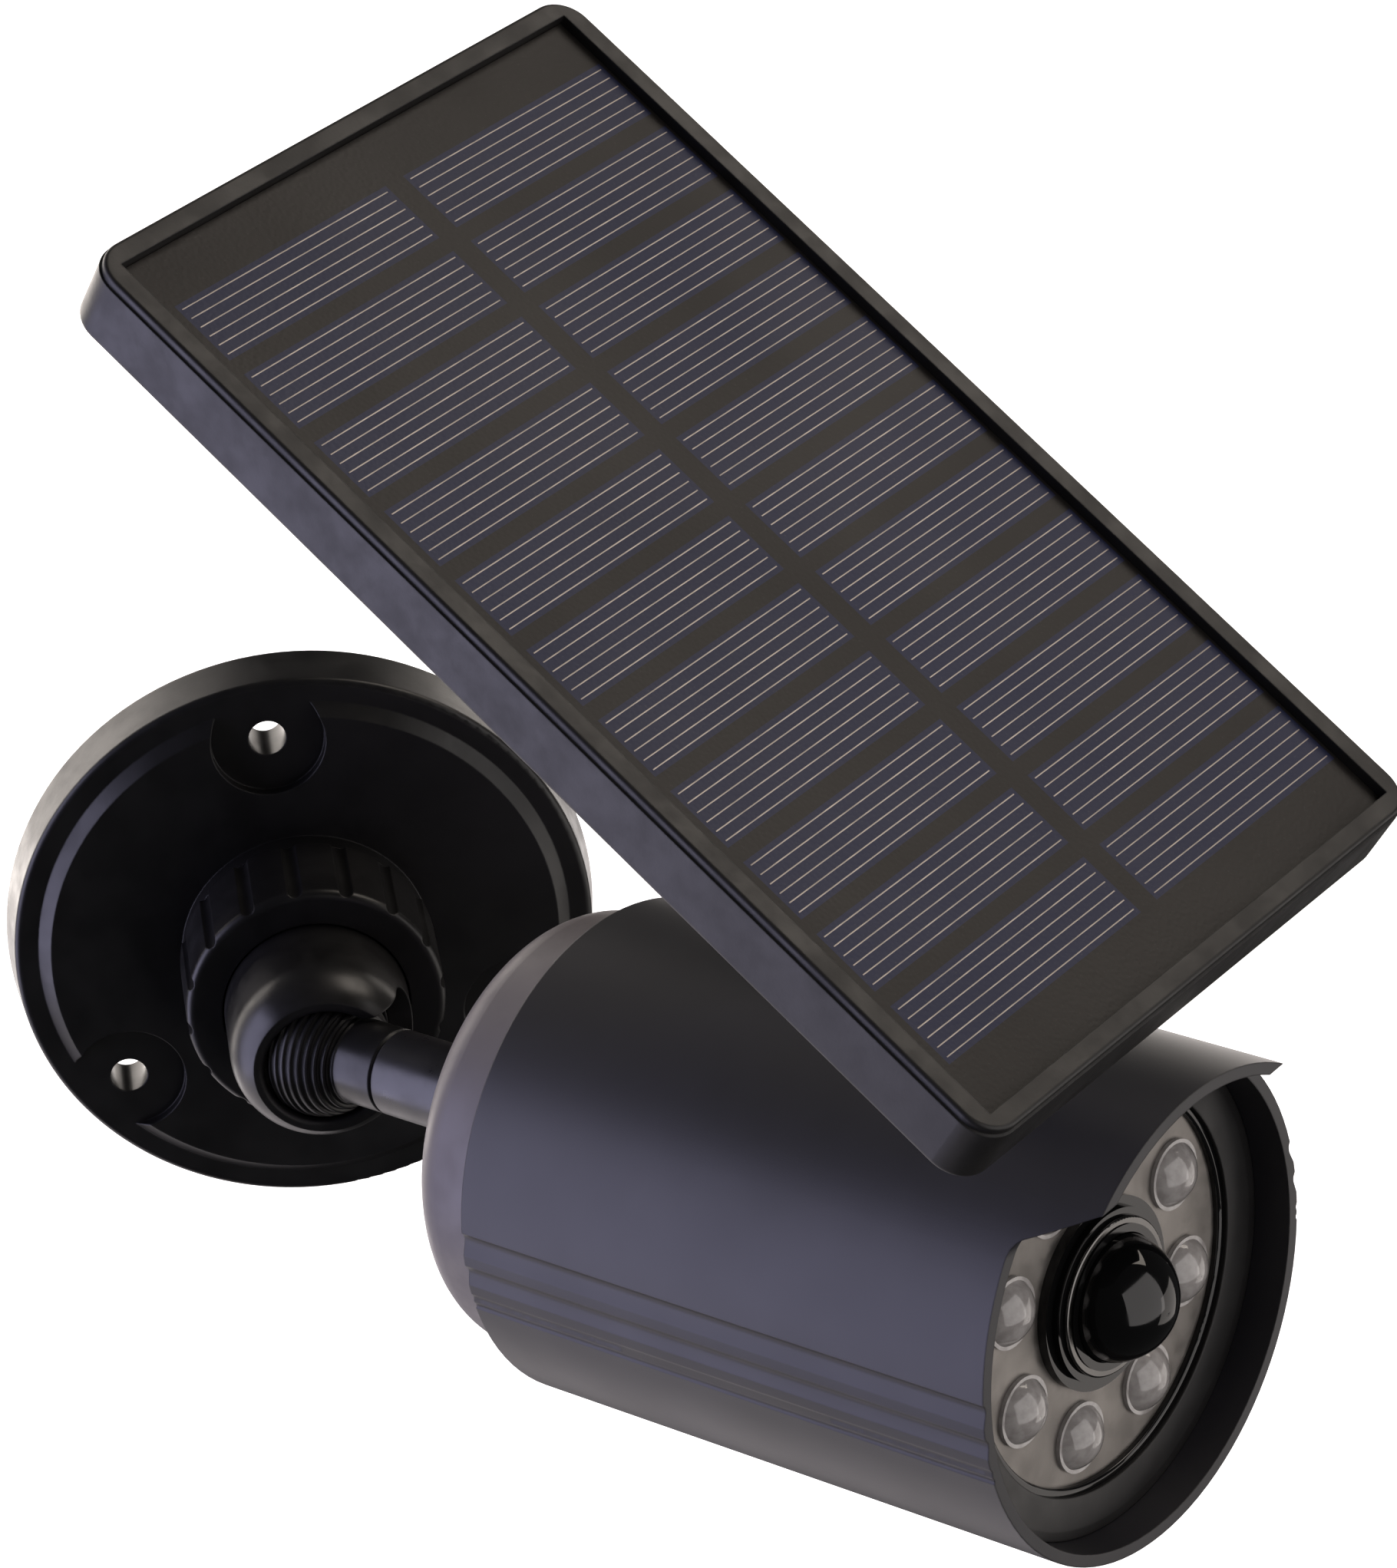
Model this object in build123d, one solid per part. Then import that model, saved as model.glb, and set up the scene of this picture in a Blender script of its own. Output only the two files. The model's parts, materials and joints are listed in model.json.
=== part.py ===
from build123d import *
import math
import os

# Solar-powered security camera, wall mounted. Millimetres, +Z up.
# Origin: centre of the wall plate's back face. The wall is the XZ plane, and the plate faces -Y.

# ---- clearances -------------------------------------------------------------
FIT = 0.1            # loose assembly gap between pieces that do not move
TURN_GAP = 0.3       # gap between faces that slide on each other
RUN = 0.05           # radial running clearance of a pin in its bore
SLOT_GAP = 0.45      # gap each side of the arm in the socket's notch
TIP = 0.2            # screw tips and keys short of what they face
PAST = 1.0           # how far a cut runs past the face it opens
SOFT_ROUND = 0.8     # ordinary moulded edge

# ---- wall plate -------------------------------------------------------------
PLATE_BACK_R = 44.0
PLATE_FACE_R = 43.0
PLATE_RIM_T = 8.0
PLATE_RAISE = 1.7
PLATE_ROUND = 1.0
STEP_OUTER_R = 39.6
STEP_INNER_R = 37.8
PLATE_SKIN = 2.5
PLATE_WALL = 3.2
SCREW_PCD = 68.6
SCREW_HOLE_R = 2.75
SCREW_COUNT = 3
SCREW_POCKET_R = 8.4
SCREW_BOSS_R = 5.6
CORE_R = 14.0
FOOT_R = 18.4
FOOT_H = 3.4
BOSS_R = 16.8
BOSS_TOP = 21.0

# ---- locking ring and swivel socket -----------------------------------------
RING_R = 19.0
RING_TOP = 28.7
RING_ROUND = 1.2
LOBES = 16
LOBE_CUT_R = 1.3
LOBE_CUT_DEPTH = 0.65
FLANGE_R = 16.3
FLANGE_T = 3.0
SOCKET_R = 13.5
BALL_R = 9.8
BALL_OUT = 41.0      # ball centre in front of the wall
DOME_START = -1.0    # heights of the dome's curve, from the ball centre
DOME_TOP = 5.6
DOME_TOP_R = 10.5
LIP_ROUND = 0.9
SPRING_EDGE = 0.4    # spring and seat smaller than the ball
SPRING_HOLE_R = 5.5
SPRING_T = 0.8
SPRING_H = 2.0
SEAT_TOP = -5.4      # from the ball centre, clear of the arm at full swing
SEAT_HOLE_R = 3.0

# ---- ball stud and arm, distances along the arm from the ball centre ---------
YAW = 43.3           # how far the arm is swung from the wall's normal
ARM_R = 6.25
ARM_BORE_R = 3.2
SEAM = 14.5
STUD_PIN_L = 9.5
RIB_FIRST = 44.0     # degrees from the arm's axis
RIB_PITCH = 7.6
RIB_COUNT = 11
RIB_R = 0.42
SEAM_CHAMFER = 0.35

# ---- housing, distances along the arm from the ball centre -------------------
TUBE_R = 35.0
TUBE_WALL = 1.7
TUBE_REAR = 57.4
TUBE_LEN = 87.1
HOOD_LEN = 11.0
HOOD_TOP_ANGLE = 35.0
HOOD_ROOT_ANGLE = 46.0
HOOD_ROUND = 2.6
FLUTES = (           # side flutes: degrees from the crown, and depth below the tube's surface
    (81.0, 0.0), (81.7, 0.38), (85.2, 0.24), (89.2, 0.05), (90.0, 0.38), (93.0, 0.22), (97.0, 0.05),
    (97.8, 0.24), (99.2, 0.06), (99.9, 0.22), (101.0, 0.0),
)
CAP_STEP = 2.7       # cap smaller than the tube where they meet
CAP_TAPER = 1.7
CAP_DEPTH = 14.1
CAP_ROUND = 6.8
CAP_WALL = 2.2
SPIGOT_LEN = 6.0
SEAL_W = 2.0
SEAL_DEPTH = 1.2
THREAD_R = 4.9
THREAD_L = 10.0
WASHER_R = 9.0
WASHER_T = 1.0
NUT_AF = 15.0
NUT_T = 5.0

# ---- front, distances behind the rim plane -----------------------------------
BEZEL_FRONT = 5.6
BEZEL_EDGE = 1.3     # flat ring outside the cone
BEZEL_WALL = 5.2     # at the bore
BEZEL_LIP_IN = 0.5   # lip inside the bore
BEZEL_LIP = 6.0
BEZEL_LIP_T = 0.6
BEZEL_BACK = 14.0
LENS_RING_T = 1.0
LENS_RING_W = 1.5
LENS_RING_ROUND = 0.5
PLATE_T = 3.0
LED_COUNT = 8
LED_LENS_R = 4.9
LED_FLANGE = 0.6
LED_DOME_H = 2.5
LED_CONE_R = 4.4
LED_CHIP_R = 1.75
LED_CHIP_H = 0.8
LED_CHIP_GAP = 0.2
BOARD_T = 1.6
DOME_R = 8.7
DOME_BACK = 5.0
DOME_WALL = 1.0
COLLAR_R = 13.2
COLLAR_STEP_R = 11.9
COLLAR_RIM_R = 9.9
COLLAR_H = (1.4, 2.4, 3.3)
TRIM_R = 10.9
TRIM_H = 0.7
TRIM_ROUND = 0.3
COLLAR_NECK_R = 10.8
PIR_CAN_R = 4.1
PIR_CAN_H = 3.3
PIR_FLANGE_R = 4.6
PIR_FLANGE_T = 0.5
BOARD_SCREWS = 3
BOARD_SCREW_EDGE = 3.1
LED_SCREW_DEPTH = 2.0
SMALL_SCREW_R = 1.0
SMALL_HEAD_R = 2.0
SMALL_HEAD_H = 1.3

# ---- inside the housing ------------------------------------------------------
CHASSIS_Y = -12.0
CHASSIS_T = 2.0
CHASSIS_GAP = 0.4    # chassis edge to the tube
CELL_R = 9.1
CELL_L = 65.0
TERMINAL_R = 3.0
TERMINAL_H = 1.0
HOLDER_WALL = 1.6
HOLDER_END = 1.0
HOLDER_RISE = 2.0    # holder's walls above the cell's middle
HOLDER_LIP = 1.0
BOARD_DROP = 8.4
BOARD_HALF_W = 19.0
BOARD_L = 52.0
BOARD_START = 4.0    # board ahead of the chassis's rear end
BOARD_INSET = 4.0    # posts inside the board's edges
POST_SCREW_L = 4.0
POST_R = 2.6
CAP_SCREW_R = 1.5
CAP_SCREW_HEAD_R = 2.8
CAP_SCREW_HEAD_H = 1.6
CAP_SCREW_X = 16.0
CAP_SCREW_L = 26.0
CAP_BOSS_SIDE = 8.0
CAP_BOSS_L = 12.0

# ---- push button under the housing ------------------------------------------
BUTTON_Z = 72.0
BUTTON_R = 5.0
BUTTON_GAP = 0.3
BUTTON_PROUD = 1.6
BUTTON_FLANGE_R = 6.3
BUTTON_FLANGE_T = 1.1
BUTTON_TRAVEL = 1.0
PLUNGER_R = 1.5
PLUNGER_L = 1.6
SWITCH_SIDE = 6.0
SWITCH_KEY_R = 1.7
SWITCH_KEY_H = 0.9

# ---- panel post ----------------------------------------------------------------
POST_AHEAD = 6.0     # post in front of the housing's middle
PIVOT_ABOVE = 35.5   # tilt pivot above the tube
SADDLE_R = 7.8
SADDLE_H = 4.0       # above the tube
SADDLE_ROUND = 1.0
SADDLE_SKIN = 1.0
PIN_R = 4.0
PIN_REACH = 4.5      # into the housing
CLIP_GROOVE_R = 3.2
CLIP_R = 4.8
CLIP_T = 1.0
CLIP_BELOW = 1.5     # below the top of the tube's bore
CLIP_MOUTH = 2.0
COLLAR_POST_R = 6.6
COLLAR_POST_H = 3.0
POST_COLUMN_R = 5.0
SHOULDER_H = 5.0
TONGUE_W = 8.0
TONGUE_R = 7.0
TONGUE_CLEAR = 9.0
WIRE_R = 1.6
WIRE_EXIT = 6.0      # below the shoulder
SADDLE_SCREW_X = 6.3
SADDLE_SCREW_R = 0.7
SADDLE_HEAD_R = 1.2
SADDLE_HEAD_H = 0.9

# ---- solar panel, in its own frame from the tilt pivot ------------------------
PITCH = 36.5         # nose-down tilt of the panel
TONGUE_GAP = 0.5     # between the post's tongue and the bracket
PANEL_SHIFT = 26.2   # panel centre behind the pivot
PANEL_W = 92.8
PANEL_L = 157.8
PANEL_T = 10.6
PANEL_CORNER_R = 5.0
RIM_W = 3.2
RIM_STEP = 0.3
RIM_STEP_T = 1.3
RIM_ROUND = 0.5
BACK_ROUND = 0.8
PV_BELOW = 1.5
PV_T = 2.5
TRAY_FLOOR = 1.5
LEDGE = 2.0
COVER_T = 1.5
CELL_MARGIN = 1.5    # beside the cells
CELL_END = 6.0       # beyond the first and last row, at least
CELL_H = 10.0
CELL_T = 0.2
CELL_GAP = 3.4
CELL_PITCH = 12.55
CELL_SHIFT = 0.9
COVER_SCREW_INSET = 4.0
COVER_POST_R = 3.2
COVER_SKIN = 0.5
WIRE_HOLE_R = 2.0
EAR_GAP = 0.2
EAR_T = 4.0
EAR_R = 7.5
BRACKET_W = 26.0
BRACKET_L = 34.0
BRACKET_T = 2.5
BRACKET_CORNER = 3.0
BRACKET_EDGE = 3.5
BOLT_R = 2.5
BOLT_HEAD_R = 4.2
BOLT_HEAD_H = 3.2
BOLT_NUT_AF = 8.0
BOLT_NUT_T = 4.0
BOLT_TAIL = 1.5

# ---- values worked out from the sizes above ------------------------------------
FACE_TOP = PLATE_RIM_T + PLATE_RAISE
TUBE_BORE = TUBE_R - TUBE_WALL
TUBE_FRONT = TUBE_REAR + TUBE_LEN
POST_Z = TUBE_REAR + TUBE_LEN / 2 + POST_AHEAD
CAP_BACK = TUBE_REAR - CAP_DEPTH
INSERT_R = TUBE_BORE - FIT
PLATE_FRONT = BEZEL_LIP + BEZEL_LIP_T + LENS_RING_T
PLATE_REAR = PLATE_FRONT + PLATE_T
CAP_R = TUBE_R - CAP_STEP
CAP_BACK_R = CAP_R - CAP_TAPER
BEZEL_CONE_R = INSERT_R - BEZEL_EDGE
BEZEL_BORE_R = INSERT_R - BEZEL_WALL
BEZEL_LIP_R = BEZEL_BORE_R - BEZEL_LIP_IN
DISC_R = BEZEL_BORE_R - FIT
LENS_RING_R = DISC_R - LENS_RING_W
LED_PITCH_R = (COLLAR_R + LENS_RING_R) / 2
BOARD_SCREW_PITCH_R = DISC_R - BOARD_SCREW_EDGE
CHASSIS_REAR = TUBE_REAR + SPIGOT_LEN
CHASSIS_FRONT = TUBE_FRONT - BEZEL_BACK
CHASSIS_HALF_W = math.sqrt(TUBE_BORE**2 - (CHASSIS_Y - CHASSIS_T) ** 2) - CHASSIS_GAP
PIVOT_H = TUBE_R + PIVOT_ABOVE
SADDLE_TOP = TUBE_R + SADDLE_H
PIN_END = TUBE_BORE - PIN_REACH
CLIP_H = TUBE_BORE - CLIP_BELOW
TRAY_BOTTOM = TONGUE_R + TONGUE_GAP + BRACKET_T
PIVOT_DROP = TRAY_BOTTOM + PANEL_T
OPENING_W = PANEL_W - 2 * RIM_W
OPENING_L = PANEL_L - 2 * RIM_W
CELL_W = (OPENING_W - 2 * CELL_MARGIN - CELL_GAP) / 2
CELL_ROWS = int((OPENING_L - 2 * CELL_END - CELL_H) / CELL_PITCH) + 1
PV_TOP = PIVOT_DROP - PV_BELOW
PV_BOTTOM = PV_TOP - PV_T

# ---- frames ---------------------------------------------------------------------
yaw = math.radians(YAW)
PLATE = Location(Plane(origin=(0, 0, 0), x_dir=(1, 0, 0), z_dir=(0, -1, 0)))
HEAD = Location(
    Plane(
        origin=(0, -BALL_OUT, 0),
        x_dir=(math.cos(yaw), math.sin(yaw), 0),
        z_dir=(math.sin(yaw), -math.cos(yaw), 0),
    )
)
FRONT = HEAD * Location((0, 0, TUBE_FRONT))
POST = HEAD * Location((0, 0, POST_Z), (-90, 0, 0))
PANEL = HEAD * Location((0, PIVOT_H, POST_Z), (PITCH - 90, 0, 0))


# ---- helpers --------------------------------------------------------------------
def turned(*points):
    """A solid of revolution about local Z, from (radius, height) corners."""
    return revolve(Plane.XZ * make_face(Polyline(*points, close=True)), Axis.Z)


def disc(radius, low, high, x=0, y=0):
    """A cylinder along local Z between two heights."""
    return Pos(x, y, low) * Cylinder(
        radius, high - low, align=(Align.CENTER, Align.CENTER, Align.MIN)
    )


def ring(outer, inner, low, high):
    """A plain ring along local Z."""
    return turned((inner, low), (outer, low), (outer, high), (inner, high))


def block(x0, x1, y0, y1, z0, z1):
    """A box between two corners."""
    return Pos((x0 + x1) / 2, (y0 + y1) / 2, (z0 + z1) / 2) * Box(x1 - x0, y1 - y0, z1 - z0)


def slab(width, length, corner, low, high):
    """A plate with rounded corners, centred on local Z."""
    outline = RectangleRounded(width, length, corner) if corner else Rectangle(width, length)
    return Pos(0, 0, low) * extrude(outline, high - low)


def cross_pin(radius, low, high, height=0):
    """A cylinder along local X."""
    return Pos(low, 0, height) * Rot(0, 90, 0) * disc(radius, 0, high - low)


def circle_edges(part, radius, height):
    """The round edges of a part at one radius and height."""
    return [
        edge
        for edge in part.edges().filter_by(GeomType.CIRCLE)
        if abs(edge.radius - radius) < 1e-4 and abs(edge.arc_center.Z - height) < 1e-4
    ]


def around(count, radius, first=90.0):
    """Points evenly spaced on a circle."""
    for i in range(count):
        angle = math.radians(first + 360.0 * i / count)
        yield radius * math.cos(angle), radius * math.sin(angle)


def screw(head_r, head_h, shank_r, length):
    """A pan-head screw along +Z: head from -head_h to 0, with a hexagon socket, shank above."""
    body = disc(head_r, -head_h, 0) + disc(shank_r, 0, length)
    socket = extrude(RegularPolygon(head_r * 0.5, 6), head_h * 0.6)
    return body - Pos(0, 0, -head_h) * socket


def small_screw(length):
    """One of the small screws that hold boards, covers and brackets."""
    return screw(SMALL_HEAD_R, SMALL_HEAD_H, SMALL_SCREW_R - FIT / 2, length)


def group(solids):
    return Compound(children=list(solids))


def save(name, shape, place):
    export_step(place * shape, f"parts/{name}.step")


# ---- wall plate -------------------------------------------------------------------
def wall_plate():
    body = turned(
        (0, 0), (PLATE_BACK_R, 0), (PLATE_FACE_R, PLATE_RIM_T), (STEP_OUTER_R, PLATE_RIM_T),
        (STEP_INNER_R, FACE_TOP), (FOOT_R, FACE_TOP), (FOOT_R, FACE_TOP + FOOT_H),
        (BOSS_R, FACE_TOP + FOOT_H), (BOSS_R, BOSS_TOP), (0, BOSS_TOP),
    )
    body = fillet(circle_edges(body, PLATE_FACE_R, PLATE_RIM_T), PLATE_ROUND)
    cavity = ring(PLATE_BACK_R - PLATE_WALL, CORE_R, 0, PLATE_RIM_T - PLATE_SKIN)
    for x, y in around(SCREW_COUNT, SCREW_PCD / 2):
        cavity -= disc(SCREW_BOSS_R, 0, PLATE_RIM_T, x, y)
        body -= disc(SCREW_POCKET_R, PLATE_RIM_T, FACE_TOP, x, y)
        body -= disc(SCREW_HOLE_R, 0, PLATE_RIM_T, x, y)
    return body - cavity


def locking_ring():
    bore = BOSS_R + TURN_GAP
    mouth = SOCKET_R + TURN_GAP
    low = FACE_TOP + FOOT_H + TURN_GAP
    step = BOSS_TOP + FLANGE_T + TURN_GAP
    body = turned(
        (bore, low), (RING_R, low), (RING_R, RING_TOP), (mouth, RING_TOP), (mouth, step),
        (bore, step),
    )
    body = fillet(circle_edges(body, RING_R, RING_TOP), RING_ROUND)
    for x, y in around(LOBES, RING_R + LOBE_CUT_R - LOBE_CUT_DEPTH):
        body -= disc(LOBE_CUT_R, low, RING_TOP, x, y)
    return body


def swivel_socket():
    rise = DOME_TOP - DOME_START
    centre_r = (SOCKET_R**2 - DOME_TOP_R**2 - rise**2) / (2 * (SOCKET_R - DOME_TOP_R))
    dome_r = SOCKET_R - centre_r
    half = math.asin(rise / dome_r) / 2
    middle = (
        centre_r + dome_r * math.cos(half),
        BALL_OUT + DOME_START + dome_r * math.sin(half),
    )
    start = (SOCKET_R, BALL_OUT + DOME_START)
    top = (DOME_TOP_R, BALL_OUT + DOME_TOP)
    flange = BOSS_TOP + FLANGE_T
    outline = Polyline(
        top, (0, top[1]), (0, BOSS_TOP), (FLANGE_R, BOSS_TOP), (FLANGE_R, flange),
        (SOCKET_R, flange), start,
    ) + ThreePointArc(start, middle, top)
    body = revolve(Plane.XZ * make_face(outline), Axis.Z)
    seat = BALL_R + FIT
    body -= disc(seat, BOSS_TOP, BALL_OUT)
    body -= Pos(0, 0, BALL_OUT) * Sphere(seat)
    mouth_r = math.sqrt(seat**2 - DOME_TOP**2)
    body = fillet(circle_edges(body, mouth_r, BALL_OUT + DOME_TOP), LIP_ROUND)
    notch_r = ARM_R + SLOT_GAP
    body -= cross_pin(notch_r, 0, SOCKET_R + PAST, BALL_OUT)
    top = BALL_OUT + DOME_TOP + PAST
    body -= block(0, SOCKET_R + PAST, -notch_r, notch_r, BALL_OUT, top)
    return body


def seat_spring():
    edge = BALL_R - SPRING_EDGE
    return turned(
        (edge, BOSS_TOP), (edge, BOSS_TOP + SPRING_T),
        (SPRING_HOLE_R, BOSS_TOP + SPRING_H), (SPRING_HOLE_R, BOSS_TOP + SPRING_H - SPRING_T),
    )


def ball_seat():
    body = ring(BALL_R, SEAT_HOLE_R, BOSS_TOP + SPRING_H, BALL_OUT + SEAT_TOP)
    return body - Pos(0, 0, BALL_OUT) * Sphere(BALL_R + TURN_GAP)


# ---- ball stud and arm -------------------------------------------------------------
def ball_stud():
    body = Sphere(BALL_R) + disc(ARM_R, 0, SEAM)
    for i in range(RIB_COUNT):
        angle = math.radians(RIB_FIRST + RIB_PITCH * i)
        centre = (BALL_R * math.sin(angle), BALL_R * math.cos(angle))
        body -= Pos(0, 0, centre[1]) * Torus(centre[0], RIB_R)
    body = chamfer(circle_edges(body, ARM_R, SEAM), SEAM_CHAMFER)
    return body + disc(ARM_BORE_R - RUN, SEAM, SEAM + STUD_PIN_L)


def arm_tube():
    body = disc(ARM_R, SEAM, CAP_BACK)
    body = chamfer(circle_edges(body, ARM_R, SEAM), SEAM_CHAMFER)
    body += disc(THREAD_R, CAP_BACK, CAP_BACK + CAP_WALL + THREAD_L)
    return body - disc(ARM_BORE_R, SEAM, CAP_BACK + CAP_WALL + THREAD_L)


def arm_washer():
    low = CAP_BACK + CAP_WALL
    return ring(WASHER_R, THREAD_R + FIT, low, low + WASHER_T)


def arm_nut():
    low = CAP_BACK + CAP_WALL + WASHER_T
    nut = Pos(0, 0, low) * extrude(RegularPolygon(NUT_AF / 2, 6, major_radius=False), NUT_T)
    return nut - disc(THREAD_R + FIT, low, low + NUT_T)


# ---- housing -----------------------------------------------------------------------
def rear_cap():
    inner = CAP_BACK + CAP_WALL
    end = TUBE_REAR + SPIGOT_LEN
    body = turned(
        (0, CAP_BACK), (CAP_BACK_R, CAP_BACK), (CAP_R, TUBE_REAR), (INSERT_R, TUBE_REAR),
        (INSERT_R, end), (0, end),
    )
    body = fillet(circle_edges(body, CAP_BACK_R, CAP_BACK), CAP_ROUND)
    hollow = turned(
        (0, inner), (CAP_BACK_R - CAP_WALL, inner), (CAP_R - CAP_WALL, TUBE_REAR),
        (CAP_R - CAP_WALL, end), (0, end),
    )
    body -= fillet(circle_edges(hollow, CAP_BACK_R - CAP_WALL, inner), CAP_ROUND - CAP_WALL)
    body -= seal_ring(TUBE_REAR + (SPIGOT_LEN - SEAL_W) / 2)
    body -= disc(THREAD_R + FIT, CAP_BACK, inner)
    for side in (-1, 1):
        x = side * CAP_SCREW_X
        body -= disc(CAP_SCREW_R + FIT, CAP_BACK, inner, x, CHASSIS_Y)
        body -= disc(CAP_SCREW_HEAD_R + FIT, CAP_BACK, CAP_BACK + CAP_SCREW_HEAD_H, x, CHASSIS_Y)
    return body


def seal_ring(low):
    """A square-section seal that fills its groove and reaches the tube's bore."""
    return ring(TUBE_BORE, INSERT_R - SEAL_DEPTH, low, low + SEAL_W)


def cap_screws():
    seat = CAP_BACK + CAP_SCREW_HEAD_H
    one = screw(CAP_SCREW_HEAD_R, CAP_SCREW_HEAD_H, CAP_SCREW_R, CAP_SCREW_L)
    return group(Pos(side * CAP_SCREW_X, CHASSIS_Y, seat) * one for side in (-1, 1))


def hood_cut():
    """What is cut from the tube's front, seen from the side, to leave the hood."""
    root = TUBE_R * math.cos(math.radians(HOOD_ROOT_ANGLE))
    top = TUBE_R * math.cos(math.radians(HOOD_TOP_ANGLE))
    far = TUBE_FRONT + HOOD_LEN
    outline = Polyline(
        (TUBE_FRONT, -TUBE_R - PAST), (TUBE_FRONT, root), (far, top), (far + PAST, top),
        (far + PAST, -TUBE_R - PAST), close=True,
    )
    face = make_face(outline)
    corners = [
        v for v in face.vertices()
        if abs(v.Y - root) < 1e-6 or (abs(v.Y - top) < 1e-6 and abs(v.X - far) < 1e-6)
    ]
    face = fillet(corners, HOOD_ROUND)
    side = Plane(origin=(0, 0, 0), x_dir=(0, 0, 1), z_dir=(-1, 0, 0))
    return extrude(side * face, TUBE_R + PAST, both=True)


def flute_cut(side, low, high):
    """What is cut from one side of the tube to leave its flutes."""
    def at(degrees, radius):
        angle = math.radians(degrees)
        return side * radius * math.sin(angle), radius * math.cos(angle)

    first, last = FLUTES[0][0], FLUTES[-1][0]
    floor = Spline(*[at(degrees, TUBE_R - depth) for degrees, depth in FLUTES])
    outside = Polyline(floor @ 1, at(last, TUBE_R + PAST), at(first, TUBE_R + PAST), floor @ 0)
    return Pos(0, 0, low) * extrude(make_face(floor + outside), high - low, dir=(0, 0, 1))


def body_tube():
    far = TUBE_FRONT + HOOD_LEN
    body = disc(TUBE_R, TUBE_REAR, far)
    for side in (-1, 1):
        body -= flute_cut(side, TUBE_REAR, far)
    body -= disc(TUBE_BORE, TUBE_REAR, far)
    body -= hood_cut()
    holes = disc(PIN_R + RUN, 0, TUBE_R + PAST)
    for side in (-1, 1):
        holes += disc(SADDLE_SCREW_R + FIT, 0, TUBE_R + PAST, side * SADDLE_SCREW_X)
    body -= Location((0, 0, POST_Z), (-90, 0, 0)) * holes
    opening = disc(BUTTON_R + BUTTON_GAP, -TUBE_R - PAST, 0)
    return body - Location((0, 0, BUTTON_Z), (-90, 0, 0)) * opening


# ---- front group, heights along local Z from the rim plane ---------------------------
def front_bezel():
    body = turned(
        (INSERT_R, -BEZEL_BACK), (INSERT_R, -BEZEL_FRONT), (BEZEL_CONE_R, -BEZEL_FRONT),
        (BEZEL_LIP_R, -BEZEL_LIP), (BEZEL_LIP_R, -BEZEL_LIP - BEZEL_LIP_T),
        (BEZEL_BORE_R, -BEZEL_LIP - BEZEL_LIP_T), (BEZEL_BORE_R, -BEZEL_BACK),
    )
    return body - seal_ring(-BEZEL_BACK + SEAL_W)


def front_gasket():
    return seal_ring(-BEZEL_BACK + SEAL_W)


def lens_ring():
    body = ring(DISC_R, LENS_RING_R, -PLATE_FRONT, -PLATE_FRONT + LENS_RING_T)
    return fillet(circle_edges(body, LENS_RING_R, -PLATE_FRONT + LENS_RING_T), LENS_RING_ROUND)


def led_places():
    return around(LED_COUNT, LED_PITCH_R, 90 + 180 / LED_COUNT)


def led_plate():
    body = ring(DISC_R, COLLAR_NECK_R + FIT, -PLATE_REAR, -PLATE_FRONT)
    cone = turned(
        (0, -PLATE_REAR), (LED_CHIP_R + LED_CHIP_GAP, -PLATE_REAR), (LED_CONE_R, -PLATE_FRONT),
        (0, -PLATE_FRONT),
    )
    for x, y in led_places():
        body -= Pos(x, y, 0) * cone
    for x, y in around(BOARD_SCREWS, BOARD_SCREW_PITCH_R):
        body -= disc(SMALL_SCREW_R, -PLATE_REAR, -PLATE_REAR + LED_SCREW_DEPTH, x, y)
    return body


def led_lenses():
    dome_r = (LED_CONE_R**2 + LED_DOME_H**2) / (2 * LED_DOME_H)
    seat = -PLATE_FRONT + LED_FLANGE
    dome = Pos(0, 0, seat + LED_DOME_H - dome_r) * Sphere(dome_r)
    dome &= disc(LED_CONE_R, seat, seat + LED_DOME_H)
    one = disc(LED_LENS_R, -PLATE_FRONT, seat) + dome
    return group(Pos(x, y, 0) * one for x, y in led_places())


def led_chips():
    return group(
        disc(LED_CHIP_R, -PLATE_REAR, -PLATE_REAR + LED_CHIP_H, x, y) for x, y in led_places()
    )


def led_board():
    body = disc(DISC_R, -PLATE_REAR - BOARD_T, -PLATE_REAR)
    for x, y in around(BOARD_SCREWS, BOARD_SCREW_PITCH_R):
        body -= disc(SMALL_SCREW_R + FIT, -PLATE_REAR - BOARD_T, -PLATE_REAR, x, y)
    return body


def led_board_screws():
    one = small_screw(BOARD_T + LED_SCREW_DEPTH - TIP)
    low = -PLATE_REAR - BOARD_T
    return group(Pos(x, y, low) * one for x, y in around(BOARD_SCREWS, BOARD_SCREW_PITCH_R))


def sensor_collar():
    low = -PLATE_FRONT
    bore = DOME_R + FIT
    return turned(
        (bore, low - PLATE_T), (COLLAR_NECK_R, low - PLATE_T), (COLLAR_NECK_R, low),
        (COLLAR_R, low), (COLLAR_R, low + COLLAR_H[0]),
        (COLLAR_STEP_R, low + COLLAR_H[0]), (COLLAR_STEP_R, low + COLLAR_H[1]),
        (COLLAR_RIM_R, low + COLLAR_H[1]), (COLLAR_RIM_R, low + COLLAR_H[2]),
        (bore, low + COLLAR_H[2]),
    )


def trim_ring():
    low = -PLATE_FRONT + COLLAR_H[1]
    body = ring(TRIM_R, COLLAR_RIM_R, low, low + TRIM_H)
    return fillet(circle_edges(body, TRIM_R, low + TRIM_H), TRIM_ROUND)


def sensor_dome():
    body = disc(DOME_R, -PLATE_REAR, -DOME_BACK) + Pos(0, 0, -DOME_BACK) * Sphere(DOME_R)
    inner = DOME_R - DOME_WALL
    body -= disc(inner, -PLATE_REAR - DOME_R, -DOME_BACK)
    body -= Pos(0, 0, -DOME_BACK) * Sphere(inner)
    return body - disc(DOME_R + PAST, -DOME_BACK - DOME_R - PAST, -PLATE_REAR)


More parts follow.
